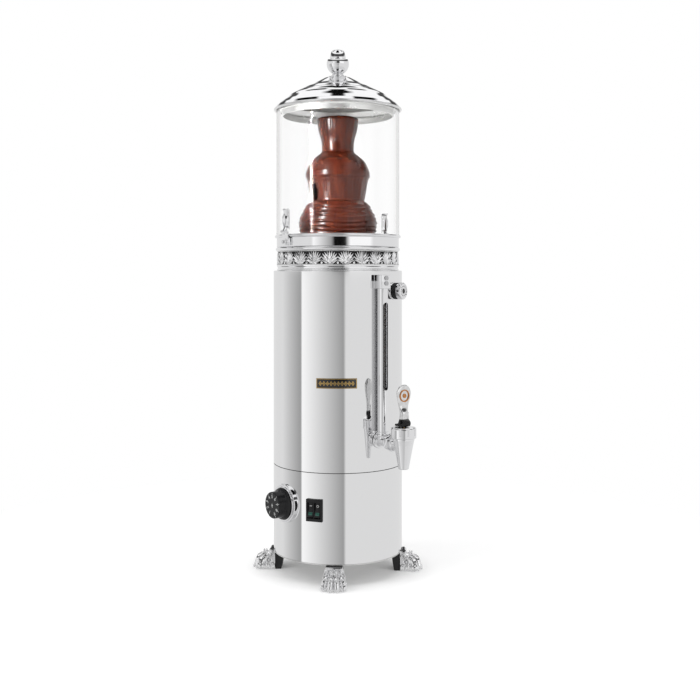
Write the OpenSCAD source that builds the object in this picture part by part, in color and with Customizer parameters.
// Counter top chocolate fountain with a glass tower, a heated tank and a tap
// Millimetres, Z up, origin on the table under the middle of the body
// Azimuth 0 is the front, which looks along -Y, and azimuth grows towards +X

/* [Body] */
// Outer diameter of the body
body_d = 200; // [190:1:215]
// Thickness of the body sheet
sheet = 1.2; // [0.8:0.1:2]
// Height of the body above the table
foot_h = 31; // [29:1:36]
// Height of the base section
base_h = 134.5; // [130:0.5:150]
// Height of the dark line between base and body
seam_h = 1; // [0.6:0.1:2]
// Height of the body section
shell_h = 297.5; // [280:0.5:320]

/* [Feet] */
// Azimuth of the front paw, with the other three a quarter turn apart
paw_az = 4; // [0:0.5:8]
// Width of a paw across its toes
paw_w = 39.4; // [34:0.2:44]
// Distance from the axis to the tips of the toes
paw_reach = 131.5; // [127:0.5:138]
// Radius of a toe
toe_r = 5; // [4:0.1:5.6]
// Width of the ankle under the body
ankle_w = 24.6; // [21:0.2:28]
// Radial depth of the rubber block behind a paw
pad_depth = 14; // [12:0.5:17]
// Thickness of the gasket on top of a foot
foot_gasket = 1; // [0.6:0.1:2]

/* [Collar] */
// Step from the body surface in to the collar
collar_inset = 4.8; // [4:0.1:6]
// Height of the moulding below the ornament
cove_h = 8.6; // [6:0.2:11]
// Height of the ornament band
frieze_h = 21.1; // [17:0.1:26]
// Number of leaves round the ornament band
leaf_count = 24; // [20:1:28]
// Width of one leaf
leaf_w = 19.5; // [15:0.5:20]
// Height of the bead above the ornament
bead_h = 6.3; // [5:0.1:8]
// Height of the smooth band
band_h = 14.5; // [12:0.5:18]
// Height of the bead that holds the glass
rim_h = 4.5; // [4.4:0.1:6]

/* [Glass and lid] */
// Step from the body surface in to the glass
glass_inset = 4.3; // [3.8:0.1:5]
// Thickness of the glass
glass_t = 4.5; // [3.5:0.1:5.5]
// Length of the glass cylinder
glass_h = 196.2; // [185:0.2:215]
// How far the lid reaches past the glass
lid_overhang = 3.9; // [3:0.1:6]
// Rise of the lid from its rim to its flat top
lid_rise = 52; // [46:1:60]
// Thickness of the lid sheet
lid_t = 1.2; // [0.8:0.1:2]
// Depth of the ring that centres the lid in the glass
lid_skirt = 8.5; // [6:0.5:12]
// Radius of the cup of the finial
ball_r = 17.4; // [15:0.1:19]
// Height of the acorn in the cup of the finial
tip_h = 15.7; // [12:0.1:20]
// Radius of the stud through the finial
stud_r = 2.5; // [2:0.1:3]

/* [Tower] */
// Outer radius of the riser tube
riser_r = 22; // [20:0.2:23]
// Thickness of the riser tube
riser_t = 1.5; // [1:0.1:2]
// Radius of the top cup at its brim
cup_r = 29.1; // [27:0.1:30]
// Height of the tower above the glass seat
tower_h = 185; // [180:0.5:190]
// Radius of the middle tier at its edge
mid_r = 47.3; // [45:0.1:49]
// Radius of the bottom tier at its edge
low_r = 57.8; // [55:0.1:60]
// Thickness of the tier sheet
tier_t = 1.5; // [1:0.1:2]
// Height of the collar that holds a tier on the riser
hub_h = 13; // [8:0.5:20]
// Thickness of the chocolate on the metal
coat_t = 2.2; // [1.6:0.1:3]
// Gap between the chocolate solid and the metal
coat_gap = 0.2; // [0.1:0.05:0.3]
// Outer radius of the auger
auger_r = 19.4; // [17:0.1:19.4]
// Rise of the auger flight in one turn
auger_pitch = 48; // [40:1:60]

/* [Tank] */
// Width of the space between body and tank
tank_gap = 20; // [18:0.5:24]
// Width of the space between body and water jacket
jacket_gap = 10; // [9:0.5:13]
// Thickness of the tank wall
tank_t = 1.2; // [0.8:0.1:2]
// Thickness of the water jacket wall
jacket_t = 1.2; // [0.8:0.1:2]
// Depth of the water below the tank
bath_h = 20.8; // [18:0.2:26]
// Radius of the heating element ring
heater_ring_r = 56; // [48:1:60]
// Radius of the heating element tube
heater_r = 4; // [3:0.5:5]

/* [Drive] */
// Height of the posts of the gear frame
post_h = 86; // [80:1:90]
// Space between the two gear plates
frame_gap = 19; // [17:0.5:22]
// Thickness of a gear plate
frame_t = 3; // [2:0.5:4]
// Tooth module of the gears
gear_module = 1; // [0.9:0.05:1.05]
// Teeth of the pinion on the motor
pinion_teeth = 18; // [17:1:20]
// Teeth of the gear on the drive shaft
gear_teeth = 54; // [48:1:56]
// Thickness of the gears
gear_t = 8; // [6:0.5:9]
// Radius of the drive shaft
shaft_r = 5; // [4:0.1:6]
// Radius of the motor
motor_r = 26; // [22:0.5:28]
// Length of the motor
motor_l = 66; // [56:1:74]

/* [Tap and gauge] */
// Azimuth of the tap and the gauge
tap_az = 45; // [42:1:48]
// Height of the outlet above the tank floor
outlet_up = 10.8; // [10:0.2:14]
// Outer radius of the outlet pipe
pipe_r = 8; // [7.5:0.1:8.6]
// Bore radius of the outlet and the tap
bore_r = 5; // [4:0.1:5.4]
// Distance from the body surface to the gauge axis
gauge_out = 9; // [8.6:0.1:11]
// Outer radius of the gauge tube
gauge_r = 8; // [7.6:0.1:8.6]
// Thickness of the gauge tube
gauge_t = 1.2; // [0.8:0.1:1.4]
// Width of the sight slot
slot_w = 9.4; // [8:0.1:10.5]
// Outer radius of the sight glass
sight_r = 5.5; // [5:0.1:5.8]
// Height of the block on top of the gauge
gauge_cap_h = 20.5; // [18:0.5:24]
// Distance from the body surface to the tap axis
tap_out = 55.5; // [54:0.5:62]
// Radius of the tap body at its top
tap_top_r = 15.9; // [15:0.1:17]
// Radius of the tap body at its spout
tap_spout_r = 7.7; // [7:0.1:9]
// Height of the tap body
tap_h = 45; // [42:0.5:50]
// Radius of the bonnet on the tap
bonnet_r = 18.6; // [18:0.1:21]
// Height of the bonnet on the tap
bonnet_h = 16; // [13:0.5:19]
// Radius of the cam under the lever
cam_r = 6.5; // [6:0.1:7]
// Sideways offset of the cam from its pin
cam_offset = 8; // [6:0.1:9]
// Width of the lever paddle
paddle_w = 27; // [22:0.2:30]
// Height of the lever paddle above its pin
paddle_h = 54; // [48:0.5:62]

/* [Controls] */
// Height of the knob axis above the base plate
knob_up = 83; // [78:1:88]
// Diameter of the knob
knob_d = 40; // [36:0.5:44]
// Diameter of the bezel round the knob
bezel_d = 58; // [55:0.5:60]
// Depth of the knob
knob_l = 18; // [14:0.5:24]
// Height of the switch axis above the base plate
switch_up = 80; // [76:1:90]
// Width of the switch frame
switch_w = 25.5; // [25:0.1:28]
// Height of the switch frame
switch_h = 33; // [32:0.2:36]
// Half the swing of a rocker
rocker_tilt = 9; // [6:0.5:10]
// Distance of the filler cap below the top of the body
filler_drop = 31; // [28:0.5:36]
// Diameter of the filler cap
filler_d = 25.5; // [23:0.5:28]
// Height of the label above the seam
label_up = 131.5; // [100:0.5:160]
// Width of the label
label_w = 60; // [50:1:70]
// Height of the label
label_h = 15; // [12:0.5:20]

/* [Clearances] */
// Running clearance of shafts and pins
run_gap = 0.08; // [0.05:0.01:0.1]
// Clearance round parts that are pushed or dropped in
fit_gap = 0.2; // [0.15:0.05:0.25]
// Clearance of curved faces that move past each other
move_gap = 0.35; // [0.3:0.05:0.4]

/* [Hidden] */
$fn = 96;

// Small overlap that lets one cut pass through a face
cut = 0.5;

// Heights of the body
body_r = body_d / 2;
plate_t = 1.2;
z_floor = foot_h + plate_t;
z_seam = foot_h + base_h;
z_shell = z_seam + seam_h;
z_top = z_shell + shell_h;
inner_r = body_r - sheet;
lip_r = body_r - jacket_gap;

// Feet
bolt_in = 9;
bolt_r = 2.4;
bolt_head_r = 4.5;
bolt_head_h = 3;
bolt_l = 12;
tongue_w = 14;
tongue_t = 4;
tongue_l = 13;
heel_in = 3;
heel_l = 12;
lip_rise = 3;
lip_t = 5.4;
lip_gap = 0.6;
toes = 4;
paw_azs = [for (i = [0:3]) paw_az + 90 * i];
toe_pitch = (paw_w - 2 * toe_r) / (toes - 1);
outer_toe_back = 3.5;
knuckle_back = 9;
knuckle_z = 10.4;
knuckle_r = toe_r + 0.4;
instep_r = toe_r + 1.6;
instep_x = 7;
heel_x = body_r - heel_in;
ankle_top = foot_h - foot_gasket;

// Seam ring and water jacket
spigot_t = 2.2;
spigot_down = 12;
ledge_h = 11.5;
ledge_t = 2;
ledge_w = 14;
z_ledge = z_shell + ledge_h;
jacket_r = body_r - jacket_gap;
jacket_flange = 4;

// Tank
tank_r = body_r - tank_gap;
z_tank = z_ledge + jacket_t + bath_h;
z_tank_floor = z_tank + tank_t;
tank_rim_z = z_top + tank_t;

// Sleeve through the water and its seal
sleeve_r = shaft_r + 6;
sleeve_bore = shaft_r + 4;
sleeve_shoulder = shaft_r + 2;
sleeve_flange_r = sleeve_r + 3;
sleeve_flange_t = 2.4;
seal_h = 6;
z_sleeve_top = z_tank_floor + sleeve_flange_t;

// Collar stack
collar_r = body_r - collar_inset;
rim_r = body_r - 1.8;
z_frieze = z_top + cove_h;
z_bead = z_frieze + frieze_h;
z_band = z_bead + bead_h;
z_rim = z_band + band_h;
z_rim_top = z_rim + rim_h;
core_t = 3;
core_r = collar_r - 2.2;
frieze_t = 1.4;
seal_t = 1;
glass_r = body_r - glass_inset;
glass_in = glass_r - glass_t;
groove_z = z_rim + 0.8;
z_glass = groove_z + seal_t;
z_glass_top = z_glass + glass_h;
rim_wall_t = 2.3;
rim_wall_out = glass_in - 2 * fit_gap;
rim_wall_in = rim_wall_out - rim_wall_t;
rim_wall_top = z_rim_top - 1;

// Bowl
bowl_t = 1.2;
bowl_flange_r = rim_wall_out - fit_gap;
bowl_wall_r = rim_wall_in - fit_gap;
bowl_floor_z = z_frieze + 11;
sump_z = bowl_floor_z - 5;
bowl_spout_r = 36;
bowl_spout_z = tank_rim_z + 2;
bowl_curve_r = 14;
pool_top = z_rim - 9.5;
drain_ring_r = 29;
drain_hole_r = 4;
drain_holes = 10;

// Tower heights, counted from the seat of the glass
z_tower = z_glass + tower_h;
riser_in = riser_r - riser_t;
riser_top = z_tower - 11.5;
cup_low = z_tower - 45.5;
cup_h = z_tower - cup_low;
mid_edge = z_glass + 91;
mid_top = z_glass + 128;
low_edge = z_glass + 14.5;
low_top = z_glass + 57;
low_shoulder_r = 38.5;
inlet_z = z_tank_floor + 5;
inlet_h = 26;
inlet_w = 16;
inlets = 4;

// Auger and shaft
auger_core = 6;
auger_t = 4.5;
auger_slices_per_turn = 15;
socket_r = 10;
socket_h = 22;
socket_bore = auger_core + 0.3;
socket_floor = 4;
z_socket = z_sleeve_top + 1;
z_auger = z_socket + socket_floor + 0.3;
auger_tail = socket_h - socket_floor + 2;
z_flight = z_auger + auger_tail;
z_auger_top = riser_top - 2;

// Gear frame
frame_az = 135;
z_frame = z_floor + post_h;
z_frame_top = z_frame + 2 * frame_t + frame_gap;
gear_centre = gear_module * (pinion_teeth + gear_teeth) / 2;
frame_margin = 40;
frame_half_w = 35;
post_r = 4;
post_inset = 6;
frame_x0 = -frame_margin;
frame_x1 = gear_centre + frame_margin;
screw_r = 1.6;
screw_head_r = 3.5;
screw_head_h = 2.5;
screw_bite = 10;
bearing_r = shaft_r + 3;
bearing_flange_r = shaft_r + 6;
bearing_flange_t = 2;
z_gear = z_frame + frame_t + bearing_flange_t + 0.3;
gear_hub_r = shaft_r + 4;
gear_hub_h = 5;
motor_shaft_r = 3;
motor_boss_r = 8;
motor_cap_h = 8;
pressure = 20;
backlash = 0.1;

// Gauge and tap, in the frame that looks out along the tap
gauge_x = body_r + gauge_out;
z_outlet = z_tank_floor + outlet_up;
tee_r = gauge_out - move_gap;
tee_rise = 14;
z_gauge = z_outlet + tee_rise;
cap_drop = 6.5;
z_gauge_cap = z_top - cap_drop - gauge_cap_h;
slot_low = 61;
slot_high = 20.5;
sight_t = 1.3;
sight_tuck = 4;
cap_half = gauge_r + 0.4;
cap_screw_r = 2;
cap_screw_head_r = 3.4;
cap_screw_head_h = 1.2;
cap_screw_z = [7.7, 15.6];
nut_x = gauge_x + tee_r + 8;
nut_t = 8;
nut_af = 24;
washer_t = 2;
washer_r = 10;
tap_x = body_r + tap_out;
shank_r = 7.5;
tap_z0 = z_outlet - 34.8;
tap_z1 = tap_z0 + tap_h;
seat_z = z_outlet - 9;
chamber_r = 10;
z_bonnet_top = tap_z1 + bonnet_h;
bonnet_wall = 5;
stem_r = 2.5;
plunger_r = 7.6;
plunger_t = 3.6;
z_pin = z_bonnet_top + cam_r + 0.3;
pin_r = 1.5;
stem_over = 3.4;
foot_w = 12;
foot_slot = 2 * stem_r + 0.8;
foot_neck = 10;
foot_neck_x = 5;
paddle_t = 4;
paddle_round = paddle_w / 2;
neck_w = 13;
emblem_r = 9;
emblem_t = 0.6;

// Controls
knob_az = -45;
knob_z = foot_h + knob_up;
bezel_out = 5;
bezel_back = 8;
bezel_step_d = bezel_d - 9;
skirt_d = knob_d + 7;
skirt_t = 2.6;
skirt_x = body_r + bezel_out + move_gap;
spindle_r = 3;
bush_r = 5;
bush_l = 10;
stat_half = 17;
stat_x0 = body_r - 38;
stat_x1 = body_r - bush_l;
capillary_r = 1;
capillary_x = body_r - 30;
bulb_r = 3;
bulb_l = 50;
bulb_z = z_ledge + jacket_t + bulb_r + 2;
switch_az = -12.5;
switch_z = foot_h + switch_up;
switch_out = 3.2;
switch_back = 8;
switch_body_w = 22.4;
switch_body_h = 28.4;
switch_body_l = 28;
rocker_half = 11;
rocker_w = 9.2;
rocker_wall = 1.2;
rocker_slot = rocker_w + 2 * fit_gap;
rocker_pitch = rocker_slot + rocker_wall;
rocker_in = 4;
rocker_pocket_z = 12.5;
rocker_pocket_x = 13;
rocker_pin_r = 1.2;
rocker_pin_out = 0.5;
inlet_az = 180;
socket_z = foot_h + 35;
plug_w = 27.4;
plug_h = 20;
plug_l = 24;
plug_flange_w = 48;
plug_flange_h = 27;
plug_out = 3;
plug_cavity_w = 24.4;
plug_cavity_h = 17;
plug_cavity_x = body_r + plug_out - 17;
plug_pin = [2, 4];
plug_pin_pitch = 7;
filler_az = tap_az + 20.5;
filler_z = z_top - filler_drop;
filler_r = 8;
filler_bore = 6.2;
filler_flange = 1.6;
filler_gasket_t = 7.4;
filler_cap_t = 8;
label_az = 6.5;
label_z = z_shell + label_up;
label_t = 1.2;
label_gap = 0.1;

// Glass clips
clip_azs = [knob_az, 135];
clip_w = 14;
clip_plate_t = 1.8;
bracket_t = 2;
bracket_x = rim_r + 0.2;
bracket_low = z_rim - 12.5;
hinge_r = 2.5;
hinge_pin_r = 1.2;
hinge_x = bracket_x + bracket_t + hinge_r - 1.4;
hinge_z = z_rim_top + 3;
knuckle_half = 3.3;
saddle_h = 11;
clip_h = 35;
clip_x = glass_r + move_gap;
clip_screw_r = 1.4;
clip_screw_head_r = 2.4;
clip_screw_y = 4;
clip_screw_x = collar_r - 4.5;
clip_screw_up = 5;
button_r = 2;
button_z = 22;

// Lid, counted from the top of the glass
z_lid = z_glass_top;
lid_r = glass_r + lid_overhang;
lid_skirt_r = glass_in - 4.2;
lid_skirt_t = 1.5;
lid_roll_r = 1.9;
lid_flat_r = 20.7;
z_lid_top = z_lid + lid_rise;

// Finial, counted from the flat top of the lid
finial_foot_r = 14;
finial_neck_r = 6.2;
finial_neck_z = 7;
ball_z = finial_neck_z + ball_r * 0.89;
tip_r = ball_r - 4.2;
tip_z = ball_z + ball_r * sin(20);
stud_low = 6;
nut_r = 5.5;
nut_h = 3.5;

// Frames and simple shapes

// Puts a shape at an azimuth, with +X pointing away from the axis
module at_azimuth(az, r = 0, z = 0) {
    rotate([0, 0, az - 90]) translate([r, 0, z]) children();
}

// Round bar along X between two distances
module bar_x(r, x0, x1) {
    translate([x0, 0, 0]) rotate([0, 90, 0]) cylinder(r = r, h = x1 - x0);
}

// Round bar along Y, centred on the origin
module bar_y(r, l) {
    rotate([90, 0, 0]) cylinder(r = r, h = l, center = true);
}

// Box between two distances along X, centred in Y and Z
module box_x(x0, x1, w, h) {
    translate([x0, -w / 2, -h / 2]) cube([x1 - x0, w, h]);
}

// Plain ring between two heights
module ring(r_out, r_in, z0, z1) {
    difference() {
        translate([0, 0, z0]) cylinder(r = r_out, h = z1 - z0);
        translate([0, 0, z0 - cut]) cylinder(r = r_in, h = z1 - z0 + 2 * cut);
    }
}

// Upright post between two heights
module post(r, z0, z1) {
    translate([0, 0, z0]) cylinder(r = r, h = z1 - z0);
}

// Turned shape from an outline of radius and height
module turned(outline) {
    rotate_extrude() polygon(outline);
}

// Bar along Z that removes the body cylinder from a fitting that sits on it
module body_core(z0, z1) {
    post(body_r + label_gap, z0, z1, $fn = 240);
}

// Points of an arc about a centre, from one angle to another
function arc(cx, cz, r, a0, a1, steps) =
    [for (i = [0:steps]) let (a = a0 + (a1 - a0) * i / steps) [cx + r * cos(a), cz + r * sin(a)]];

// Smooth curve through points, as a spline with some steps per stretch
function spline_at(p0, p1, p2, p3, t) =
    0.5 * (2 * p1 + (p2 - p0) * t + (2 * p0 - 5 * p1 + 4 * p2 - p3) * t * t
    + (3 * p1 - p0 - 3 * p2 + p3) * t * t * t);
function smooth(points, steps) = let (last = len(points) - 1)
    [for (i = [0:last - 1]) for (s = [0:steps - 1])
        spline_at(points[max(i - 1, 0)], points[i], points[i + 1], points[min(i + 2, last)], s / steps),
    points[last]];

// Feet

// One toe, from its tip over the knuckle to the instep
module toe(index) {
    side = index - (toes - 1) / 2;
    tip_x = paw_reach - toe_r - (abs(side) > 1 ? outer_toe_back : 0);
    hull() {
        translate([tip_x, side * toe_pitch, toe_r]) sphere(r = toe_r, $fn = 20);
        translate([tip_x - knuckle_back, side * toe_pitch * 0.96, knuckle_z]) sphere(r = knuckle_r, $fn = 20);
        translate([body_r + instep_x, side * toe_pitch * 0.6, foot_h * 0.62]) sphere(r = instep_r, $fn = 20);
        translate([heel_x + 2, side * toe_pitch * 0.6 - toe_r, 0]) cube([2, 2 * toe_r, 1]);
    }
}

// Cast paw with four toes, an ankle and a tongue for its bolt
module paw_foot(az) {
    color("silver") at_azimuth(az) difference() {
        union() {
            for (i = [0:toes - 1]) toe(i);
            translate([heel_x, -ankle_w / 2, 0]) cube([heel_l, ankle_w, ankle_top]);
            translate([body_r + lip_gap, -ankle_w / 2, ankle_top - cut])
                cube([lip_t, ankle_w, lip_rise + foot_gasket + cut]);
            translate([heel_x - tongue_l, -tongue_w / 2, ankle_top - tongue_t])
                cube([tongue_l + cut, tongue_w, tongue_t]);
        }
        translate([body_r - bolt_in, 0, ankle_top - tongue_t - cut])
            cylinder(r = bolt_r + fit_gap, h = tongue_t + 2 * cut);
    }
}

module paw_foot_front() { paw_foot(paw_azs[0]); }
module paw_foot_right() { paw_foot(paw_azs[1]); }
module paw_foot_rear() { paw_foot(paw_azs[2]); }
module paw_foot_left() { paw_foot(paw_azs[3]); }

// Rubber block behind each paw and gasket on top of it
module foot_rubbers() {
    color("dimgray") for (az = paw_azs) at_azimuth(az) {
        difference() {
            translate([heel_x - pad_depth, -ankle_w / 2, 0]) cube([pad_depth, ankle_w, ankle_top]);
            translate([heel_x - tongue_l, -tongue_w / 2, ankle_top - tongue_t])
                cube([tongue_l + cut, tongue_w, tongue_t + cut]);
            translate([body_r - bolt_in, 0, ankle_top - bolt_l])
                cylinder(r = bolt_r + fit_gap, h = bolt_l + cut);
        }
        difference() {
            translate([heel_x - pad_depth, -ankle_w / 2, ankle_top])
                cube([pad_depth + heel_in, ankle_w, foot_gasket]);
            translate([body_r - bolt_in, 0, ankle_top - cut])
                cylinder(r = bolt_r + fit_gap, h = foot_gasket + 2 * cut);
        }
    }
}

// Places a shape at the four screws of the clip brackets
module clip_screw_places() {
    for (az = clip_azs, side = [-1, 1])
        at_azimuth(az, 0, bracket_low + clip_screw_up) translate([0, side * clip_screw_y, 0]) children();
}

// Screws and bolts that hold feet, gear frame, gauge cap and clip brackets
module screws() {
    color("gray") {
        for (az = paw_azs) at_azimuth(az, body_r - bolt_in) {
            post(bolt_head_r, z_floor, z_floor + bolt_head_h);
            post(bolt_r, ankle_top - bolt_l + 1, z_floor);
        }
        frame_corners() {
            post(screw_head_r, z_frame_top, z_frame_top + screw_head_h);
            post(screw_r, z_frame - screw_bite + 1, z_frame_top);
        }
        for (dz = cap_screw_z) at_azimuth(tap_az, 0, z_gauge_cap + dz) {
            bar_x(cap_screw_head_r, gauge_x + cap_half, gauge_x + cap_half + cap_screw_head_h);
            bar_x(cap_screw_r, inner_r - 4, gauge_x + cap_half);
        }
        clip_screw_places() {
            bar_x(clip_screw_head_r, bracket_x + bracket_t, bracket_x + bracket_t + 1.5);
            bar_x(clip_screw_r, clip_screw_x, bracket_x + bracket_t);
        }
    }
}

// Base

// Floor of the base with bolt holes and vent slots
module base_plate() {
    vent_count = 16;
    vent_l = 18;
    vent_w = 4;
    vent_x = 58;
    color("silver") difference() {
        post(body_r, foot_h, z_floor);
        for (az = paw_azs) at_azimuth(az, body_r - bolt_in)
            post(bolt_r + fit_gap, foot_h - cut, z_floor + cut);
        for (i = [0:vent_count - 1]) at_azimuth((i + 0.5) * 360 / vent_count, vent_x, foot_h + plate_t / 2)
            cube([vent_l, vent_w, plate_t + 2 * cut], center = true);
    }
}

// Lower casing with the openings for knob, switch and power inlet
module base_shell() {
    color("silver") difference() {
        ring(body_r, inner_r, z_floor, z_seam);
        at_azimuth(knob_az, 0, knob_z) bar_x(bush_r + fit_gap, inner_r - 3, body_r + 3);
        at_azimuth(switch_az, 0, switch_z)
            box_x(inner_r - 3, body_r + 3, switch_body_w + 2 * fit_gap, switch_body_h + 2 * fit_gap);
        at_azimuth(inlet_az, 0, socket_z)
            box_x(inner_r - 4, body_r + 3, plug_w + 2 * fit_gap, plug_h + 2 * fit_gap);
    }
}

// Ring that joins base and body, shows as the dark line and carries the jacket
module seam_ring() {
    spigot_r = inner_r - fit_gap;
    color("dimgray") turned([
        [spigot_r - spigot_t, z_seam - spigot_down], [spigot_r, z_seam - spigot_down], [spigot_r, z_seam],
        [body_r - 0.7, z_seam], [body_r - 0.7, z_shell], [spigot_r, z_shell], [spigot_r, z_ledge],
        [spigot_r - ledge_w, z_ledge], [spigot_r - ledge_w, z_ledge - ledge_t],
        [spigot_r - spigot_t, z_ledge - ledge_t]]);
}

// Tall polished casing with an inward lip at the top
module body_shell() {
    roll = sheet * 0.6;
    color("gainsboro") difference() {
        turned([
            [inner_r, z_shell], [body_r, z_shell], [body_r, z_top - roll],
            for (p = arc(body_r - roll, z_top - roll, roll, 15, 75, 4)) p,
            [body_r - roll, z_top], [lip_r, z_top], [lip_r, z_top - sheet], [inner_r, z_top - sheet]]);
        at_azimuth(tap_az, 0, z_outlet) bar_x(pipe_r + fit_gap, inner_r - 3, body_r + 3);
        at_azimuth(filler_az, 0, filler_z) bar_x(filler_r + fit_gap, inner_r - 3, body_r + 3);
        for (dz = cap_screw_z) at_azimuth(tap_az, 0, z_gauge_cap + dz)
            bar_x(cap_screw_r + fit_gap, inner_r - 3, body_r + 3);
    }
}

// Curved label plate on the front, left bare
module label_plate() {
    span = label_w / body_r * 180 / PI;
    color("black") rotate([0, 0, label_az - 90 - span / 2]) rotate_extrude(angle = span)
        translate([body_r + label_gap, label_z - label_h / 2]) square([label_t, label_h]);
}

// Tank and water bath

// Water jacket round the tank, open only at its filler and glands
module water_jacket() {
    color("lightgray") difference() {
        turned([
            [sleeve_r + fit_gap, z_ledge], [jacket_r, z_ledge], [jacket_r, z_top - sheet - jacket_t],
            [jacket_r + jacket_flange, z_top - sheet - jacket_t], [jacket_r + jacket_flange, z_top - sheet],
            [tank_r + fit_gap, z_top - sheet], [tank_r + fit_gap, z_top - sheet - jacket_t],
            [jacket_r - jacket_t, z_top - sheet - jacket_t], [jacket_r - jacket_t, z_ledge + jacket_t],
            [sleeve_r + fit_gap, z_ledge + jacket_t]]);
        at_azimuth(tap_az, 0, z_outlet) bar_x(pipe_r + fit_gap, tank_r + 2, body_r);
        at_azimuth(filler_az, 0, filler_z) bar_x(filler_r + fit_gap, tank_r + 2, body_r);
        at_azimuth(knob_az, capillary_x) post(capillary_r + fit_gap, z_ledge - cut, z_ledge + jacket_t + cut);
        for (side = [-1, 1]) at_azimuth(inlet_az + side * heater_leg_az, heater_ring_r)
            post(heater_r, z_ledge - cut, z_ledge + jacket_t + cut);
    }
}

// Open tank that holds the melted chocolate
module tank() {
    color("whitesmoke") difference() {
        turned([
            [sleeve_r + fit_gap, z_tank], [tank_r, z_tank], [tank_r, z_top],
            [core_r - fit_gap, z_top], [core_r - fit_gap, tank_rim_z],
            [tank_r - tank_t, tank_rim_z], [tank_r - tank_t, z_tank_floor],
            [sleeve_r + fit_gap, z_tank_floor]]);
        at_azimuth(tap_az, 0, z_outlet) bar_x(pipe_r + fit_gap, tank_r - 8, tank_r + 4);
    }
}

// Half the opening of the heater ring, in degrees
heater_open = 14;
heater_leg_az = heater_open + 3;
heater_leg = 14;
heater_z = z_ledge + jacket_t + heater_r + 3;

// Heating element, one open ring with two legs down through the jacket floor
module heating_element() {
    color("dimgray") {
        rotate([0, 0, inlet_az - 90 + heater_open]) rotate_extrude(angle = 360 - 2 * heater_open)
            translate([heater_ring_r, heater_z]) circle(r = heater_r);
        for (side = [-1, 1]) at_azimuth(inlet_az + side * heater_leg_az, heater_ring_r)
            post(heater_r - fit_gap, z_ledge - heater_leg, heater_z);
    }
}

// Sleeve that carries the drive shaft dry through the water bath
module shaft_sleeve() {
    color("lightgray") {
        turned([
            [sleeve_shoulder, z_ledge], [sleeve_r, z_ledge], [sleeve_r, z_tank_floor],
            [sleeve_flange_r, z_tank_floor], [sleeve_flange_r, z_sleeve_top],
            [sleeve_bore, z_sleeve_top], [sleeve_bore, z_sleeve_top - seal_h],
            [sleeve_shoulder, z_sleeve_top - seal_h]]);
        ring(sleeve_flange_r, sleeve_shoulder, z_ledge - 3, z_ledge);
    }
}

// Shaft seal, glass seal, two gauge seals and the washer behind the tap
module rubber_seals() {
    color("darkslategray") {
        ring(sleeve_bore - run_gap, shaft_r + run_gap, z_sleeve_top - seal_h, z_sleeve_top);
        ring(glass_r - fit_gap, glass_in + fit_gap, groove_z, z_glass);
        at_azimuth(tap_az, gauge_x) for (z0 = [z_gauge - sight_tuck, z_gauge_cap - sight_tuck])
            ring(gauge_seal_r, sight_r + run_gap, z0, z0 + sight_tuck - 1);
        at_azimuth(tap_az, 0, z_outlet) difference() {
            bar_x(washer_r, nut_x + nut_t, nut_x + nut_t + washer_t);
            bar_x(shank_r + fit_gap, nut_x, nut_x + nut_t + washer_t + cut);
        }
    }
}

// Controls

// Thermostat box with its bush, and the bulb in the water on its capillary
module thermostat() {
    color("goldenrod") at_azimuth(knob_az) {
        translate([0, 0, knob_z]) difference() {
            union() {
                box_x(stat_x0, stat_x1, 2 * stat_half, 2 * stat_half);
                bar_x(bush_r, stat_x1 - cut, body_r + 1);
            }
            bar_x(spindle_r + run_gap, stat_x1 - 14, body_r + 2);
        }
        translate([capillary_x, 0, 0]) post(capillary_r, knob_z + stat_half - cut, bulb_z);
        translate([capillary_x, 0, bulb_z]) bar_y(bulb_r, bulb_l);
    }
}

// Bright bezel on the casing round the knob
module thermostat_bezel() {
    color("silver") at_azimuth(knob_az) difference() {
        translate([0, 0, knob_z]) difference() {
            union() {
                bar_x(bezel_d / 2, body_r - bezel_back, body_r + bezel_out - 1.6);
                bar_x(bezel_step_d / 2 + 1.4, body_r - bezel_back + 1, body_r + bezel_out);
            }
            bar_x(bush_r + fit_gap, body_r - bezel_back - cut, body_r + bezel_out + cut);
        }
        body_core(knob_z - bezel_d, knob_z + bezel_d);
    }
}

// Black knob with its skirt and spindle
module thermostat_knob() {
    edge = 1.2;
    color("black") at_azimuth(knob_az, 0, knob_z) {
        bar_x(skirt_d / 2, skirt_x, skirt_x + skirt_t);
        bar_x(knob_d / 2, skirt_x + skirt_t - cut, skirt_x + knob_l - edge);
        bar_x(knob_d / 2 - edge, skirt_x + knob_l - edge - cut, skirt_x + knob_l);
        bar_x(spindle_r, stat_x1 - 12, skirt_x + cut);
    }
}

// Frame and housing of the two rocker switches
module switch_frame() {
    color("black") at_azimuth(switch_az) difference() {
        translate([0, 0, switch_z]) union() {
            difference() {
                box_x(body_r - switch_back, body_r + switch_out, switch_w, switch_h);
                translate([0, 0, -switch_z]) body_core(switch_z - switch_h, switch_z + switch_h);
            }
            box_x(body_r - switch_body_l, body_r + switch_out - cut, switch_body_w, switch_body_h);
        }
        for (side = [-1, 1]) translate([0, side * rocker_pitch / 2, switch_z]) {
            box_x(body_r - rocker_pocket_x, body_r + switch_out + cut, rocker_slot, 2 * rocker_pocket_z);
            translate([body_r - rocker_in, 0, 0])
                bar_y(rocker_pin_r + run_gap, rocker_slot + 2 * rocker_pin_out + run_gap);
        }
    }
}

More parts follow.
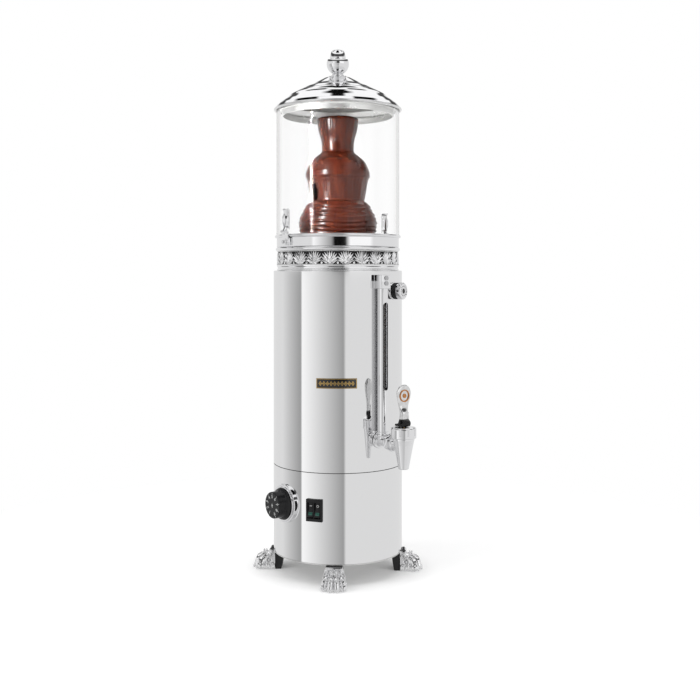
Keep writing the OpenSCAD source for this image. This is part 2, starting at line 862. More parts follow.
// One rocker, tipped so that its upper half is pressed in
module rocker(side) {
    front = 5.2;
    rise = rocker_half * tan(rocker_tilt);
    back = 6;
    color("black") at_azimuth(switch_az, 0, switch_z)
        translate([body_r - rocker_in, side * rocker_pitch / 2, 0]) rotate([0, -rocker_tilt, 0]) {
            rotate([90, 0, 0]) linear_extrude(rocker_w, center = true) polygon([
                [front, 0], [front + rise, rocker_half], [-1, rocker_half - 1.4], [-back, 4],
                [-back, -4], [-1, 1.4 - rocker_half], [front + rise, -rocker_half]]);
            bar_y(rocker_pin_r, rocker_slot + 2 * rocker_pin_out);
        }
}

module rocker_left() { rocker(-1); }
module rocker_right() { rocker(1); }

// Power inlet on the rear of the base with three pins
module power_inlet() {
    color("dimgray") at_azimuth(inlet_az) {
        difference() {
            translate([0, 0, socket_z]) union() {
                difference() {
                    box_x(body_r - 6, body_r + plug_out, plug_flange_w, plug_flange_h);
                    translate([0, 0, -socket_z])
                        body_core(socket_z - plug_flange_h, socket_z + plug_flange_h);
                }
                box_x(body_r - plug_l, body_r + plug_out - cut, plug_w, plug_h);
            }
            translate([0, 0, socket_z])
                box_x(plug_cavity_x, body_r + plug_out + cut, plug_cavity_w, plug_cavity_h);
        }
        for (i = [-1:1]) translate([0, i * plug_pin_pitch, socket_z + (i == 0 ? 2 : -2)])
            box_x(plug_cavity_x, body_r + plug_out - 4, plug_pin[0], plug_pin[1]);
    }
}

// Wiring between inlet, switch, thermostat, heater and motor

wire_r = 1.5;
wire_sides = 8;
wire_gap = 0.8;
plug_back = body_r - plug_l - wire_gap;
switch_back_r = body_r - switch_body_l - wire_gap;
stat_back = stat_x0 - wire_gap;
heater_end = z_ledge - heater_leg - wire_gap;

// Point from an azimuth, a radius and a height
function polar(az, r, z) = [r * sin(az), -r * cos(az), z];
wire_paths = [
    [polar(inlet_az, plug_back, socket_z), polar(inlet_az, plug_back - 8, socket_z), polar(200, 66, 60),
        polar(230, 84, 60), polar(275, 88, 62), polar(318, 86, 66), polar(345, 72, 84),
        polar(switch_az, switch_back_r - 8, switch_z - 8), polar(switch_az, switch_back_r, switch_z - 8)],
    [polar(switch_az, switch_back_r, switch_z + 4), polar(switch_az, switch_back_r - 8, switch_z + 4),
        polar(-24, 52, switch_z + 6), polar(knob_az + 6, 50, knob_z - 4),
        polar(knob_az, stat_back - 6, knob_z), polar(knob_az, stat_back, knob_z)],
    [polar(knob_az, stat_back, knob_z + 11), polar(knob_az, stat_back - 7, knob_z + 11),
        polar(285, 68, 150), polar(240, 76, 154), polar(205, 70, 150),
        polar(inlet_az + heater_leg_az, heater_ring_r, heater_end - 8),
        polar(inlet_az + heater_leg_az, heater_ring_r, heater_end)]];

// Round tube swept along points, one ring at each point
module wire(points) {
    last = len(points) - 1;
    ahead = [0.36, 0.48, 0.8];
    rings = [for (i = [0:last]) let (
        d = points[min(i + 1, last)] - points[max(i - 1, 0)],
        u = cross(d, ahead) / norm(cross(d, ahead)),
        v = cross(d, u) / norm(d))
        for (s = [0:wire_sides - 1]) let (a = s * 360 / wire_sides)
            points[i] + wire_r * (cos(a) * u + sin(a) * v)];
    walls = [for (i = [0:last - 1], s = [0:wire_sides - 1]) let (
        a = i * wire_sides + s, b = i * wire_sides + (s + 1) % wire_sides)
        for (face = [[a, b, b + wire_sides], [a, b + wire_sides, a + wire_sides]]) face];
    start = [for (s = [0:wire_sides - 1]) wire_sides - 1 - s];
    end = [for (s = [0:wire_sides - 1]) last * wire_sides + s];
    polyhedron(rings, concat(walls, [start, end]), convexity = 6);
}

module wiring() {
    color("firebrick") for (path = wire_paths) wire([for (k = [0:(len(path) - 1) * 3]) let (
        i = floor(k / 3), t = (k % 3) / 3, last = len(path) - 1)
        spline_at(path[max(i - 1, 0)], path[i], path[min(i + 1, last)], path[min(i + 2, last)], t)]);
}

// Drive

// Places a shape at the four corners of the gear frame
module frame_corners() {
    for (x = [frame_x0 + post_inset, frame_x1 - post_inset], y = [-1, 1])
        at_azimuth(frame_az) translate([x, y * (frame_half_w - post_inset), 0]) children();
}

// Two plates on four posts, held apart by four spacers
module gear_frame() {
    color("slategray") {
        difference() {
            at_azimuth(frame_az) for (z0 = [z_frame, z_frame + frame_t + frame_gap])
                translate([frame_x0, -frame_half_w, z0])
                    cube([frame_x1 - frame_x0, 2 * frame_half_w, frame_t]);
            post(bearing_r + run_gap, z_frame - cut, z_frame_top + cut);
            at_azimuth(frame_az, gear_centre)
                post(motor_boss_r + fit_gap, z_frame - cut, z_frame + frame_t + cut);
            frame_corners() post(screw_r + fit_gap, z_frame - cut, z_frame_top + cut);
        }
        frame_corners() {
            difference() {
                post(post_r, z_floor, z_frame);
                post(screw_r + fit_gap, z_frame - screw_bite, z_frame + cut);
            }
            ring(post_r, screw_r + fit_gap, z_frame + frame_t, z_frame + frame_t + frame_gap);
        }
    }
}

// Flanged bushes of the drive shaft
module shaft_bearings() {
    color("peru") for (z0 = [z_frame, z_frame + frame_t + frame_gap]) turned([
        [shaft_r + run_gap, z0], [bearing_r, z0], [bearing_r, z0 + frame_t],
        [bearing_flange_r, z0 + frame_t], [bearing_flange_r, z0 + frame_t + bearing_flange_t],
        [shaft_r + run_gap, z0 + frame_t + bearing_flange_t]]);
}

// Motor hung below the lower plate
module motor() {
    motor_low = z_frame - motor_l;
    color("darkgray") at_azimuth(frame_az, gear_centre) {
        difference() {
            union() {
                post(motor_r, motor_low, z_frame);
                post(motor_boss_r, z_frame - cut, z_frame + frame_t);
            }
            post(motor_shaft_r + run_gap, z_frame - 16, z_frame + frame_t + cut);
        }
        ring(motor_r + 0.8, motor_r - 8, motor_low - motor_cap_h, motor_low);
    }
}

// Involute gear outline
function involute(base, t) = let (a = t * 180 / PI)
    [base * (cos(a) + t * sin(a)), base * (sin(a) - t * cos(a))];
function turn(p, a) = [p[0] * cos(a) - p[1] * sin(a), p[0] * sin(a) + p[1] * cos(a)];
function gear_outline(teeth) = let (
    r = gear_module * teeth / 2, base = r * cos(pressure), tip = r + gear_module * 0.95,
    root = r - gear_module * 1.2, t_tip = sqrt(pow(tip / base, 2) - 1),
    inv = tan(pressure) - pressure * PI / 180,
    half = (90 / teeth) - backlash / r * 180 / PI + inv * 180 / PI,
    start = max(0, root > base ? sqrt(pow(root / base, 2) - 1) : 0),
    flank = [for (k = [0:5]) involute(base, start + (t_tip - start) * k / 5)])
    [for (i = [0:teeth - 1]) let (a = i * 360 / teeth) for (p = concat(
        [turn([root, 0], a - half - 0.4)],
        [for (q = flank) turn(q, a - half)],
        [for (k = [5:-1:0]) turn([flank[k][0], -flank[k][1]], a + half)],
        [turn([root, 0], a + half + 0.4)])) p];

// Large gear on the drive shaft
module output_gear() {
    color("ivory") difference() {
        union() {
            at_azimuth(frame_az, 0, z_gear) linear_extrude(gear_t) polygon(gear_outline(gear_teeth));
            post(gear_hub_r, z_gear + gear_t - cut, z_gear + gear_t + gear_hub_h);
        }
        post(shaft_r + run_gap, z_gear - cut, z_gear + gear_t + gear_hub_h + cut);
    }
}

// Motor shaft with its pinion, a gap of the pinion facing the drive shaft
module motor_pinion() {
    phase = 180 + 180 / pinion_teeth;
    color("darkgoldenrod") at_azimuth(frame_az, gear_centre) {
        rotate([0, 0, phase]) translate([0, 0, z_gear - 0.5]) linear_extrude(gear_t + 1)
            polygon(gear_outline(pinion_teeth));
        post(motor_shaft_r, z_frame - 14, z_gear + gear_t + 4);
    }
}

// Drive shaft with the socket that turns the auger
module drive_shaft() {
    color("lightsteelblue") difference() {
        union() {
            post(shaft_r, z_frame - 1.5, z_socket + cut);
            post(socket_r, z_socket, z_socket + socket_h);
        }
        translate([0, 0, z_socket + socket_floor]) cylinder(r = socket_bore, h = socket_h, $fn = 6);
    }
}

// Auger, a core with one flight that lifts the chocolate
module auger() {
    flight_l = z_auger_top - z_flight;
    turns = flight_l / auger_pitch;
    blade = 360 * auger_t / auger_pitch;
    blade_steps = 2;
    core_sides = 8;
    color("lightgray") {
        translate([0, 0, z_auger]) cylinder(r = auger_core * 0.98, h = auger_tail, $fn = 6);
        translate([0, 0, z_flight]) linear_extrude(flight_l, twist = -360 * turns,
            slices = ceil(turns * auger_slices_per_turn), $fn = 8) polygon(concat(
                [for (i = [0:blade_steps]) let (a = -blade / 2 + blade * i / blade_steps)
                    auger_r * [cos(a), sin(a)]],
                [for (i = [0:core_sides - 1]) let (a = blade / 2 + (360 - blade) * i / (core_sides - 1))
                    auger_core * [cos(a), sin(a)]]));
    }
}

// Tower

// Riser tube that stands on the tank floor, with inlets at its foot
module riser_tube() {
    color("whitesmoke") difference() {
        ring(riser_r, riser_in, z_tank_floor, riser_top);
        for (i = [0:inlets - 1]) at_azimuth((i + 0.5) * 360 / inlets, 0, inlet_z + inlet_h / 2)
            box_x(riser_in - 4, riser_r + 2, inlet_w, inlet_h);
    }
}

// Outer outlines of the metal, as radius and height
function cup_outline(grow) = [
    [riser_r + 0.9 + grow, cup_low], [riser_r + 1.5 + grow, cup_low + cup_h * 0.26],
    [cup_r - 1.7 + grow, cup_low + cup_h * 0.59], [cup_r + grow, cup_low + cup_h * 0.88]];
function mid_r_at(share) = riser_r + (mid_r - riser_r) * share;
function mid_z_at(share) = mid_edge + (mid_top - mid_edge) * share;
function mid_outline(grow) = smooth([
    [mid_r_at(0.976) + grow, mid_edge], [mid_r + grow, mid_z_at(0.162)],
    [mid_r_at(0.929) + grow, mid_z_at(0.351)], [mid_r_at(0.704) + grow, mid_z_at(0.635)],
    [mid_r_at(0.375) + grow, mid_z_at(0.878)], [mid_r_at(0.047) + grow, mid_top + grow]], 3);
function low_r_at(share) = low_shoulder_r + (low_r - low_shoulder_r) * share;
function low_z_at(share) = low_edge + (low_top - low_edge) * share;
function low_outline(grow) = smooth([
    [low_r_at(0.964) + grow, low_edge], [low_r + grow, low_z_at(0.165)],
    [low_r_at(0.907) + grow, low_z_at(0.353)], [low_r_at(0.554) + grow, low_z_at(0.682)],
    [low_r_at(0.337) + grow, low_z_at(0.847)], [low_shoulder_r + grow, low_top]], 3);

// Flared cup on top of the riser
module top_cup() {
    brim = z_tower - 4;
    color("whitesmoke") turned(concat(cup_outline(0), [
        [cup_r, brim], [cup_r - tier_t, brim], [cup_r - tier_t, cup_low + cup_h * 0.88],
        [cup_r - 1.7 - tier_t, cup_low + cup_h * 0.6], [riser_r + fit_gap, cup_low + cup_h * 0.3],
        [riser_r + fit_gap, cup_low]]));
}

// Bell shaped tier, as its outline and the same outline drawn in by the sheet
module tier(outline, edge, top) {
    turned(concat(outline, [for (i = [len(outline) - 1:-1:0]) let (p = outline[i])
        [p[0] - tier_t, p[1] - (p[1] - edge) / (top - edge) * tier_t]]));
}

module middle_tier() {
    color("whitesmoke") {
        difference() {
            tier(mid_outline(0), mid_edge, mid_top);
            post(riser_r + fit_gap, mid_edge, mid_top + 5);
        }
        ring(riser_r + 2.5, riser_r + fit_gap, mid_top - hub_h, mid_top - 1.2);
    }
}

module bottom_tier() {
    color("whitesmoke") {
        tier(low_outline(0), low_edge, low_top);
        ring(low_shoulder_r - tier_t + 0.2, riser_r + fit_gap, low_top - tier_t, low_top);
        ring(riser_r + 2.5, riser_r + fit_gap, low_top - hub_h, low_top - tier_t + 0.2);
    }
}

// Flowing chocolate on the tower, the pool in the bowl and the column in the gauge
module chocolate() {
    color("saddlebrown") {
        difference() {
            turned(concat(curtain_outside(), curtain_inside()));
            at_azimuth(bare_az, 0, bare_z) box_x(low_shoulder_r - 4, mid_r + 4, bare_w, bare_h);
        }
        turned(concat([
            [riser_r + fit_gap, pool_top], [riser_r + fit_gap, sump_z + bowl_t + 1],
            [bowl_spout_r, sump_z + bowl_t + 1]],
            bowl_bend(bowl_t + fit_gap), [[bowl_wall_r - bowl_t - fit_gap, pool_top]]));
        at_azimuth(tap_az, gauge_x)
            post(sight_r - sight_t - fit_gap, z_gauge - sight_tuck, z_gauge_cap - slot_high + 10);
    }
}

// Place and size of the bare patch in the falling curtain
bare_az = -47.5;
bare_z = z_glass + 68;
bare_w = 15;
bare_h = 27;

// Outside of the flowing chocolate, from the pool up to the top of the cup
function curtain_outside() = concat(
    [[low_r - 2, pool_top]],
    smooth([
        [low_r + 0.8, z_glass + 4], [low_r + coat_t + 0.4, low_edge], [low_r + coat_t + 0.8, low_edge + 7.5],
        [low_r + coat_t - 0.9, low_edge + 15.5],
        [low_r - 5.6, low_edge + 29.5], [low_r - 9.8, low_edge + 36.5],
        [low_shoulder_r + 3.1, low_top - 1]], 4),
    smooth([
        [mid_r - 5, low_top + 3], [mid_r - 3.4, mid_edge - 19.5], [mid_r - 1.4, mid_edge - 8],
        [mid_r + coat_t - 0.6, mid_edge], [mid_r + coat_t + 0.3, mid_edge + 5],
        [mid_r + coat_t - 0.1, mid_edge + 11],
        [mid_r - 4.3, mid_edge + 25], [riser_r + 12.5, mid_top - 3.4], [riser_r + 3.8, mid_top + 4],
        [riser_r + 3, cup_low], [riser_r + 3.6, cup_low + cup_h * 0.25],
        [cup_r + 0.6, cup_low + cup_h * 0.57],
        [cup_r + coat_t + 0.4, cup_low + cup_h * 0.86]], 4),
    [[cup_r + coat_t + 0.2, z_tower], [cup_r - 1, z_tower + 1.6], [0, z_tower + 2.6]]);

// Inside of the flowing chocolate, back down over the metal
function curtain_inside() = let (brim = z_tower - 4 + coat_gap, mid = mid_outline(coat_gap),
    low = low_outline(coat_gap), cup = cup_outline(coat_gap)) concat(
    [[0, riser_top + 1], [riser_r + 2, riser_top + 1], [cup_r - tier_t - coat_gap, brim],
        [cup_r + coat_gap, brim]],
    [for (i = [len(cup) - 1:-1:0]) cup[i]],
    [[riser_r + coat_gap, cup_low - 0.4], [riser_r + coat_gap, mid_top + 2.5]],
    [for (i = [len(mid) - 1:-1:0]) mid[i]],
    [[mid_r - 2.4, mid_edge - coat_gap], [mid_r - 5.4, mid_edge - 16],
        [low_shoulder_r + 1.6, low_top + coat_gap + 1]],
    [for (i = [len(low) - 1:-1:0]) low[i]],
    [[low_r - 2.4, low_edge - coat_gap], [low_r - 5, pool_top]]);

// Quarter bend at the bottom of the bowl wall
function bowl_bend(inset) =
    arc(bowl_wall_r - bowl_curve_r, bowl_floor_z + bowl_curve_r, bowl_curve_r - inset, -90, 0, 8);

// Bowl that catches the chocolate and lets it drain back into the tank
module bowl() {
    bend = bowl_bend(bowl_t);
    spout_in = bowl_spout_r - bowl_t;
    color("whitesmoke") difference() {
        turned(concat(
            [[bowl_flange_r, rim_wall_top], [bowl_flange_r, rim_wall_top + bowl_t],
                [bowl_wall_r - bowl_t, rim_wall_top + bowl_t]],
            [for (i = [len(bend) - 1:-1:0]) bend[i]],
            [[spout_in, sump_z + bowl_t], [riser_r + fit_gap, sump_z + bowl_t], [riser_r + fit_gap, sump_z],
                [spout_in, sump_z], [spout_in, bowl_spout_z], [bowl_spout_r, bowl_spout_z],
                [bowl_spout_r, sump_z]],
            bowl_bend(0), [[bowl_wall_r, rim_wall_top]]));
        for (i = [0:drain_holes - 1]) at_azimuth(i * 360 / drain_holes, drain_ring_r)
            post(drain_hole_r, sump_z - cut, sump_z + bowl_t + cut);
    }
}

// Collar

// Moulding above the body with the dark core behind the ornament
module collar_base() {
    color("silver") turned([
        [core_r - core_t, tank_rim_z], [core_r, tank_rim_z], [core_r, z_top], [collar_r, z_top],
        [collar_r, z_top + 1.4], [collar_r - 0.9, z_top + 2.2], [collar_r - 0.9, z_top + 5.4],
        [collar_r, z_top + 6.2], [collar_r, z_frieze], [core_r, z_frieze], [core_r, z_bead],
        [core_r - core_t, z_bead]]);
}

// Openwork band of standing leaves
module frieze_band() {
    leaf_h = frieze_h - 1;
    lens_r = (leaf_h * leaf_h + leaf_w * leaf_w) / 4 / leaf_w;
    notch = 2.4;
    step = 360 / leaf_count;
    color("silver") difference() {
        union() {
            ring(core_r + fit_gap + frieze_t, core_r + fit_gap, z_frieze, z_bead, $fn = 240);
            for (i = [0:leaf_count - 1]) at_azimuth(i * step, 0, z_frieze + frieze_h / 2)
                translate([core_r + fit_gap + frieze_t - 0.6, 0, 0]) rotate([90, 0, 90])
                    linear_extrude(1.3) intersection() {
                        translate([leaf_w / 2 - lens_r, 0]) circle(r = lens_r);
                        translate([lens_r - leaf_w / 2, 0]) circle(r = lens_r);
                    }
        }
        for (i = [0:leaf_count - 1], up = [-1, 1]) at_azimuth((i + 0.5) * step, 0, z_frieze + frieze_h / 2)
            translate([core_r - 1, 0, up * (frieze_h / 2 - 3.4)]) rotate([90, 0, 90]) linear_extrude(6)
                polygon([[-notch, up * 1.8], [notch, up * 1.8], [0, -up * 2.6]]);
    }
}

// Bead, smooth band and rim with the groove that holds the glass
module collar_rim() {
    color("silver") difference() {
        turned(concat(
            [[rim_wall_in, z_bead]],
            arc(collar_r - 1.6, z_bead + bead_h / 2, bead_h / 2, -90, 90, 10),
            [[collar_r, z_band], [collar_r, z_rim]],
            arc(rim_r - 2, z_rim + 2, 2, -60, 60, 6),
            [[rim_r - 0.8, z_rim_top], [glass_r + fit_gap, z_rim_top], [glass_r + fit_gap, groove_z],
                [rim_wall_out, groove_z], [rim_wall_out, rim_wall_top], [rim_wall_in, rim_wall_top]]));
        clip_screw_places() bar_x(clip_screw_r + fit_gap, clip_screw_x - fit_gap, body_r);
    }
}

// Glass cylinder round the tower
module glass_cylinder() {
    color("lightcyan", 0.35) ring(glass_r, glass_in, z_glass, z_glass_top);
}

// Lid

// Outline of the lid in three tiers, as radius and share of the rise
lid_steps = [
    [-4.9, 0.155], [-11.5, 0.26], [-18.5, 0.352], [-22.5, 0.41], [-25, 0.47], [-36, 0.585], [-38.5, 0.60],
    [-47, 0.69], [-56, 0.765], [-59, 0.785], [-69.3, 0.90]];
function lid_outline(drop) = concat(
    [for (p = lid_steps) [lid_r + p[0] - drop * 0.5, z_lid + p[1] * lid_rise - drop]],
    [[lid_flat_r - drop * 0.3, z_lid_top - drop]]);

// Spun dome with a rolled rim
module lid_shell() {
    inner = lid_outline(lid_t);
    color("silver") difference() {
        turned(concat(
            [[lid_r - 2 * lid_roll_r - 4, z_lid + lid_t], [lid_r - 2 * lid_roll_r, z_lid + lid_t]],
            arc(lid_r - lid_roll_r, z_lid + lid_roll_r, lid_roll_r, -140, 60, 10),
            lid_outline(0), [[0, z_lid_top], [0, z_lid_top - lid_t]],
            [for (i = [len(inner) - 1:-1:0]) inner[i]]));
        post(stud_r + fit_gap, z_lid_top - 4, z_lid_top + 1);
    }
}

// Ring inside the lid that rests on the glass and centres the lid in it
module lid_collar() {
    skirt_in = lid_skirt_r - lid_skirt_t;
    flange_r = lid_r - 2 * lid_roll_r - 0.6;
    color("lightgray") turned([
        [skirt_in, z_lid - lid_skirt], [lid_skirt_r, z_lid - lid_skirt], [lid_skirt_r, z_lid],
        [flange_r, z_lid], [flange_r, z_lid + lid_t], [skirt_in, z_lid + lid_t]]);
}

// Turned finial with its stud, and the nut inside the lid
module finial() {
    color("silver") translate([0, 0, z_lid_top]) {
        turned(concat(
            [[0, 0], [finial_foot_r, 0], [finial_foot_r, 1.6], [finial_foot_r - 3, 3],
                [finial_neck_r + 1.8, 4.4], [finial_neck_r, finial_neck_z]],
            arc(0, ball_z, ball_r, -62, 20, 14),
            [[tip_r, tip_z + 0.4], [tip_r - 0.8, tip_z + tip_h * 0.42], [tip_r - 2.6, tip_z + tip_h * 0.75],
                [tip_r - 5, tip_z + tip_h * 0.93], [tip_r - 8.5, tip_z + tip_h * 0.99], [0, tip_z + tip_h]]));
        translate([0, 0, -stud_low - nut_h]) cylinder(r = stud_r, h = stud_low + nut_h + cut);
        difference() {
            translate([0, 0, -lid_t - nut_h]) cylinder(r = nut_r, h = nut_h, $fn = 6);
            translate([0, 0, -lid_t - nut_h - cut]) cylinder(r = stud_r + run_gap, h = nut_h + 2 * cut);
        }
    }
}

// Filler of the water bath

// Neck from the jacket out through the body, with its bright flange
module filler_neck() {
    color("silver") at_azimuth(filler_az) difference() {
        union() {
            difference() {
                translate([0, 0, filler_z]) bar_x(filler_d / 2, body_r - 4, body_r + filler_flange);
                body_core(filler_z - filler_d, filler_z + filler_d);
            }
            translate([0, 0, filler_z]) bar_x(filler_r, jacket_r - jacket_t, body_r + filler_flange - cut);
        }
        translate([0, 0, filler_z]) bar_x(filler_bore, jacket_r - 5, body_r + filler_flange + cut);
    }
}

// Cap of the filler with its black gasket
module filler_cap() {
    seat_x = body_r + filler_flange;
    cap_x = seat_x + filler_gasket_t;
    face_x = cap_x + filler_cap_t;
    gasket_r = filler_d / 2 - 0.7;
    color("silver") at_azimuth(filler_az, 0, filler_z) {
        difference() {
            union() {
                bar_x(filler_d / 2, cap_x, face_x - 1.2);
                bar_x(filler_d / 2 - 1.2, cap_x, face_x);
                bar_x(filler_bore - run_gap, seat_x - 9, cap_x + cut);
            }
            bar_x(filler_d / 2 - 4, face_x - 1, face_x + cut);
        }
        bar_x(3, face_x - 1, face_x);
        difference() {
            bar_x(gasket_r, seat_x, cap_x);
            bar_x(filler_bore + fit_gap, seat_x - cut, cap_x + cut);
        }
    }
}

// Gauge and tap

gauge_seal_r = gauge_r - gauge_t - fit_gap;

// Tee from the tank to the tap, with the foot of the gauge on top
module gauge_tee() {
    color("silver") at_azimuth(tap_az, 0, z_outlet) difference() {
        union() {
            bar_x(pipe_r, tank_r - tank_t, body_r + 1);
            difference() {
                bar_x(pipe_r + 4, body_r - 1, body_r + 2.4);
                post(body_r + label_gap, -20, 20);
            }
            bar_x(tee_r, body_r + 1.5, nut_x);
            bar_x(shank_r - 1, nut_x - cut, nut_x + nut_t - 1);
            translate([gauge_x, 0, 0]) post(tee_r, 0, tee_rise);
        }
        bar_x(bore_r, tank_r - 4, nut_x + nut_t);
        translate([gauge_x, 0, 0]) {
            post(bore_r - 1.2, 0, tee_rise + cut);
            post(gauge_seal_r + run_gap, tee_rise - sight_tuck, tee_rise + cut);
        }
    }
}

// Bright gauge tube with the sight slot facing out
module gauge_shield() {
    slot_z0 = z_gauge + slot_low + slot_w / 2;
    slot_z1 = z_gauge_cap - slot_high - slot_w / 2;
    color("silver") at_azimuth(tap_az, gauge_x) difference() {
        ring(gauge_r, gauge_r - gauge_t, z_gauge, z_gauge_cap);
        translate([0, -slot_w / 2, slot_z0]) cube([gauge_r + 2, slot_w, slot_z1 - slot_z0]);
        for (z0 = [slot_z0, slot_z1]) translate([0, 0, z0]) bar_x(slot_w / 2, 0, gauge_r + 2);
    }
}

// Glass tube inside the gauge
module sight_glass() {
    color("lightcyan", 0.5) at_azimuth(tap_az, gauge_x)
        ring(sight_r, sight_r - sight_t, z_gauge - sight_tuck, z_gauge_cap + sight_tuck);
}

// Block that ties the top of the gauge to the body
module gauge_cap() {
    color("silver") at_azimuth(tap_az) difference() {
        translate([body_r - 1, -cap_half, z_gauge_cap])
            cube([gauge_out + 1 + cap_half, 2 * cap_half, gauge_cap_h]);
        body_core(z_gauge_cap - cut, z_gauge_cap + gauge_cap_h + cut);
        translate([gauge_x, 0, 0]) post(sight_r + fit_gap, z_gauge_cap - cut, z_gauge_cap + sight_tuck);
        for (dz = cap_screw_z) translate([0, 0, z_gauge_cap + dz])
            bar_x(cap_screw_r + fit_gap, body_r - 3, gauge_x + cap_half + cut);
    }
}

// Hexagon nut that holds the tap to the tee
module tap_nut() {
    color("silver") at_azimuth(tap_az, 0, z_outlet) difference() {
        translate([nut_x, 0, 0]) rotate([0, 90, 0]) cylinder(d = nut_af / cos(30), h = nut_t, $fn = 6);
        bar_x(shank_r - 1 + fit_gap, nut_x - cut, nut_x + nut_t - 1);
        bar_x(shank_r + fit_gap, nut_x + nut_t - 1, nut_x + nut_t + cut);
    }
}

// Cone shaped tap with its shank, chamber and spout
module tap_body() {
    shoulder_x = nut_x + nut_t + washer_t;
    color("silver") at_azimuth(tap_az) difference() {
        union() {
            translate([tap_x, 0, tap_z0]) cylinder(r1 = tap_spout_r, r2 = tap_top_r, h = tap_h);
            translate([0, 0, z_outlet]) {
                bar_x(shank_r, nut_x + nut_t - 1, tap_x - 4);
                bar_x(shank_r + 2.2, shoulder_x, shoulder_x + 3);
            }
        }
        translate([0, 0, z_outlet]) bar_x(bore_r, nut_x + nut_t - 2, tap_x);
        translate([tap_x, 0, 0]) {
            post(bore_r, tap_z0 - cut, seat_z + cut);
            post(chamber_r, seat_z, tap_z1 + cut);
        }
    }
}

// Bonnet that closes the tap and guides the stem
module tap_bonnet() {
    notch_count = 24;
    color("silver") at_azimuth(tap_az, tap_x) difference() {
        union() {
            post(bonnet_r, tap_z1, z_bonnet_top - 2);
            post(bonnet_r - 1.5, z_bonnet_top - 2 - cut, z_bonnet_top);
        }
        post(chamber_r, tap_z1 - cut, z_bonnet_top - bonnet_wall);
        post(stem_r + run_gap, z_bonnet_top - bonnet_wall - cut, z_bonnet_top + cut);
        for (i = [0:notch_count - 1]) rotate([0, 0, i * 360 / notch_count])
            translate([bonnet_r + 0.6, 0, 0]) post(1.2, tap_z1 + 3, z_bonnet_top + cut);
    }
}

// Seat cup and stem with the pin that the lever turns on
module tap_plunger() {
    color("dimgray") at_azimuth(tap_az, tap_x) {
        post(plunger_r, seat_z, seat_z + plunger_t);
        post(stem_r, seat_z + plunger_t - cut, z_pin + stem_over);
        translate([0, 0, z_pin]) bar_y(pin_r, foot_w);
    }
}

// Black foot of the lever with the cam that lifts the stem
module lever_foot() {
    color("black") at_azimuth(tap_az, tap_x, z_pin) difference() {
        union() {
            bar_y(cam_r, foot_w);
            translate([cam_offset, 0, 0]) bar_y(cam_r, foot_w);
            translate([0, -foot_w / 2, 1 - cam_r]) cube([cam_offset, foot_w, 2 * cam_r - 2]);
            translate([-foot_neck_x, -foot_w / 2, 0]) cube([2 * foot_neck_x, foot_w, foot_neck]);
        }
        translate([-cam_r - 1, -foot_slot / 2, -cam_r - 1])
            cube([cam_offset + 2 * cam_r + 2, foot_slot, cam_r + stem_over + 2.8]);
        bar_y(pin_r + run_gap, foot_w + 1);
    }
}

// Bright paddle of the lever, a front outline cut by a side outline
module lever_paddle() {
    z0 = foot_neck;
    paddle_side = paddle_round * 0.985;
    side = concat(
        smooth([[-4.4, z0], [-4.2, z0 + 6], [-2.6, z0 + 14], [-1.6, z0 + 22]], 3), [[-1.6, paddle_h]],
        [[paddle_t - 1.6, paddle_h]],
        smooth([[paddle_t - 1.6, z0 + 22], [paddle_t - 2.2, z0 + 14], [1.6, z0 + 6], [4.4, z0]], 3));
    color("gainsboro") at_azimuth(tap_az, tap_x, z_pin) intersection() {
        rotate([90, 0, 0]) linear_extrude(2 * paddle_w, center = true) polygon(side);
        rotate([90, 0, 90]) linear_extrude(30, center = true) union() {
            translate([0, paddle_h - paddle_round]) circle(r = paddle_round);
            polygon([[-neck_w / 2, z0], [neck_w / 2, z0], [neck_w / 2, z0 + 7],
                [paddle_side, paddle_h - paddle_round - 2], [-paddle_side, paddle_h - paddle_round - 2],
                [-neck_w / 2, z0 + 7]]);
        }
    }
}

// Round copper emblem on the paddle, with a plain face
module lever_emblem() {
    color("chocolate") at_azimuth(tap_az, tap_x + paddle_t - 1.6, z_pin + paddle_h - paddle_round)
        bar_x(emblem_r, 0, emblem_t);
}

// Glass clips

// Brackets on the collar with the fixed knuckles and the hinge pins
module clip_brackets() {
    color("silver") for (az = clip_azs) at_azimuth(az) {
        difference() {
            union() {
                translate([bracket_x, -clip_w / 2, bracket_low])
                    cube([bracket_t, clip_w, hinge_z - bracket_low]);
                difference() {
                    translate([collar_r - 2, -clip_w / 2, bracket_low])
                        cube([bracket_x - collar_r + 2 + cut, clip_w, saddle_h]);
                    post(collar_r + label_gap, bracket_low - cut, bracket_low + saddle_h + cut);
                }
                for (side = [-1, 1])
                    translate([hinge_x, side * (clip_w / 2 + knuckle_half + fit_gap) / 2, hinge_z])
                        bar_y(hinge_r, clip_w / 2 - knuckle_half - fit_gap);
            }
            translate([bracket_x - 1, -knuckle_half - fit_gap, hinge_z - hinge_r - 1])
                cube([bracket_t + 2 * hinge_r + 2, 2 * (knuckle_half + fit_gap), 2 * hinge_r + 2]);
            for (side = [-1, 1]) translate([0, side * clip_screw_y, bracket_low + clip_screw_up])
                bar_x(clip_screw_r + fit_gap, collar_r - 3, bracket_x + bracket_t + cut);
        }
        translate([hinge_x, 0, hinge_z]) bar_y(hinge_pin_r, clip_w);
    }
}

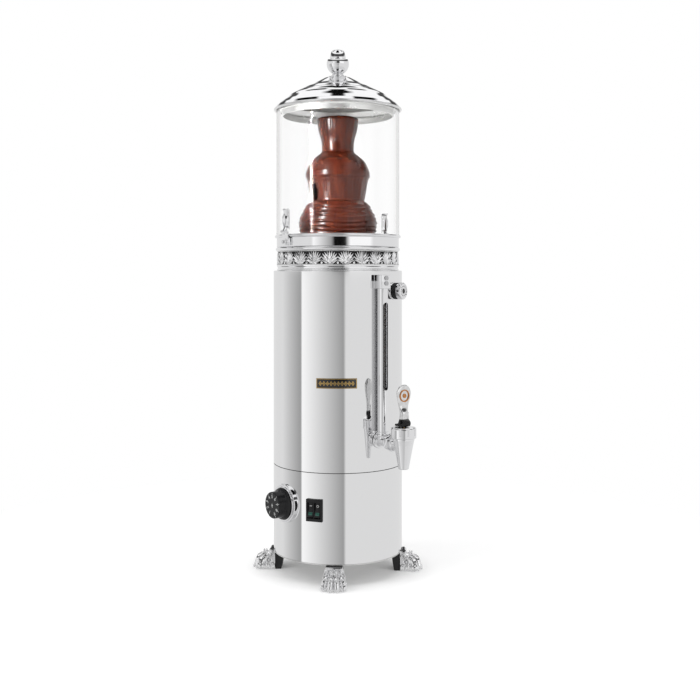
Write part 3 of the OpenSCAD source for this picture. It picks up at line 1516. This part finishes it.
// Flat stretch of a clip, from its outline beside the glass
module clip_leaf(w, outline) {
    translate([clip_x, 0, 0]) rotate([90, 0, 0]) linear_extrude(w, center = true) polygon(outline);
}

// One hinged clip that leans on the glass, with its dark button
module clip(az) {
    lean = hinge_x - clip_x;
    color("silver") at_azimuth(az, 0, hinge_z) {
        difference() {
            union() {
                translate([hinge_x, 0, 0]) bar_y(hinge_r, 2 * knuckle_half);
                clip_leaf(2 * knuckle_half, [
                    [lean - hinge_r * 0.9, 1], [lean + hinge_r * 0.9, 1], [clip_plate_t + 0.6, 9], [0.2, 9]]);
                clip_leaf(clip_w, [
                    [0.4, 6], [0, 8.4], [0, clip_h - 4], [1.2, clip_h - 1.2], [3, clip_h], [4, clip_h - 1.4],
                    [clip_plate_t + 0.6, clip_h - 4], [clip_plate_t, clip_h - 8], [clip_plate_t, 8.4],
                    [clip_plate_t + 1.2, 6]]);
            }
            translate([hinge_x, 0, 0]) bar_y(hinge_pin_r + run_gap, clip_w);
        }
        translate([0, 0, button_z]) bar_x(button_r, clip_x + clip_plate_t, clip_x + clip_plate_t + 1);
    }
}

module clip_left() { clip(clip_azs[0]); }
module clip_right() { clip(clip_azs[1]); }

paw_foot_front();
paw_foot_right();
paw_foot_rear();
paw_foot_left();
foot_rubbers();
screws();
base_plate();
base_shell();
seam_ring();
body_shell();
label_plate();
water_jacket();
tank();
heating_element();
shaft_sleeve();
rubber_seals();
thermostat();
thermostat_bezel();
thermostat_knob();
switch_frame();
rocker_left();
rocker_right();
power_inlet();
motor();
gear_frame();
shaft_bearings();
motor_pinion();
output_gear();
drive_shaft();
auger();
riser_tube();
top_cup();
middle_tier();
bottom_tier();
bowl();
chocolate();
collar_base();
frieze_band();
collar_rim();
glass_cylinder();
lid_shell();
lid_collar();
finial();
filler_neck();
filler_cap();
gauge_tee();
gauge_shield();
sight_glass();
gauge_cap();
tap_nut();
tap_body();
tap_bonnet();
tap_plunger();
lever_foot();
lever_paddle();
lever_emblem();
clip_brackets();
clip_left();
clip_right();
wiring();
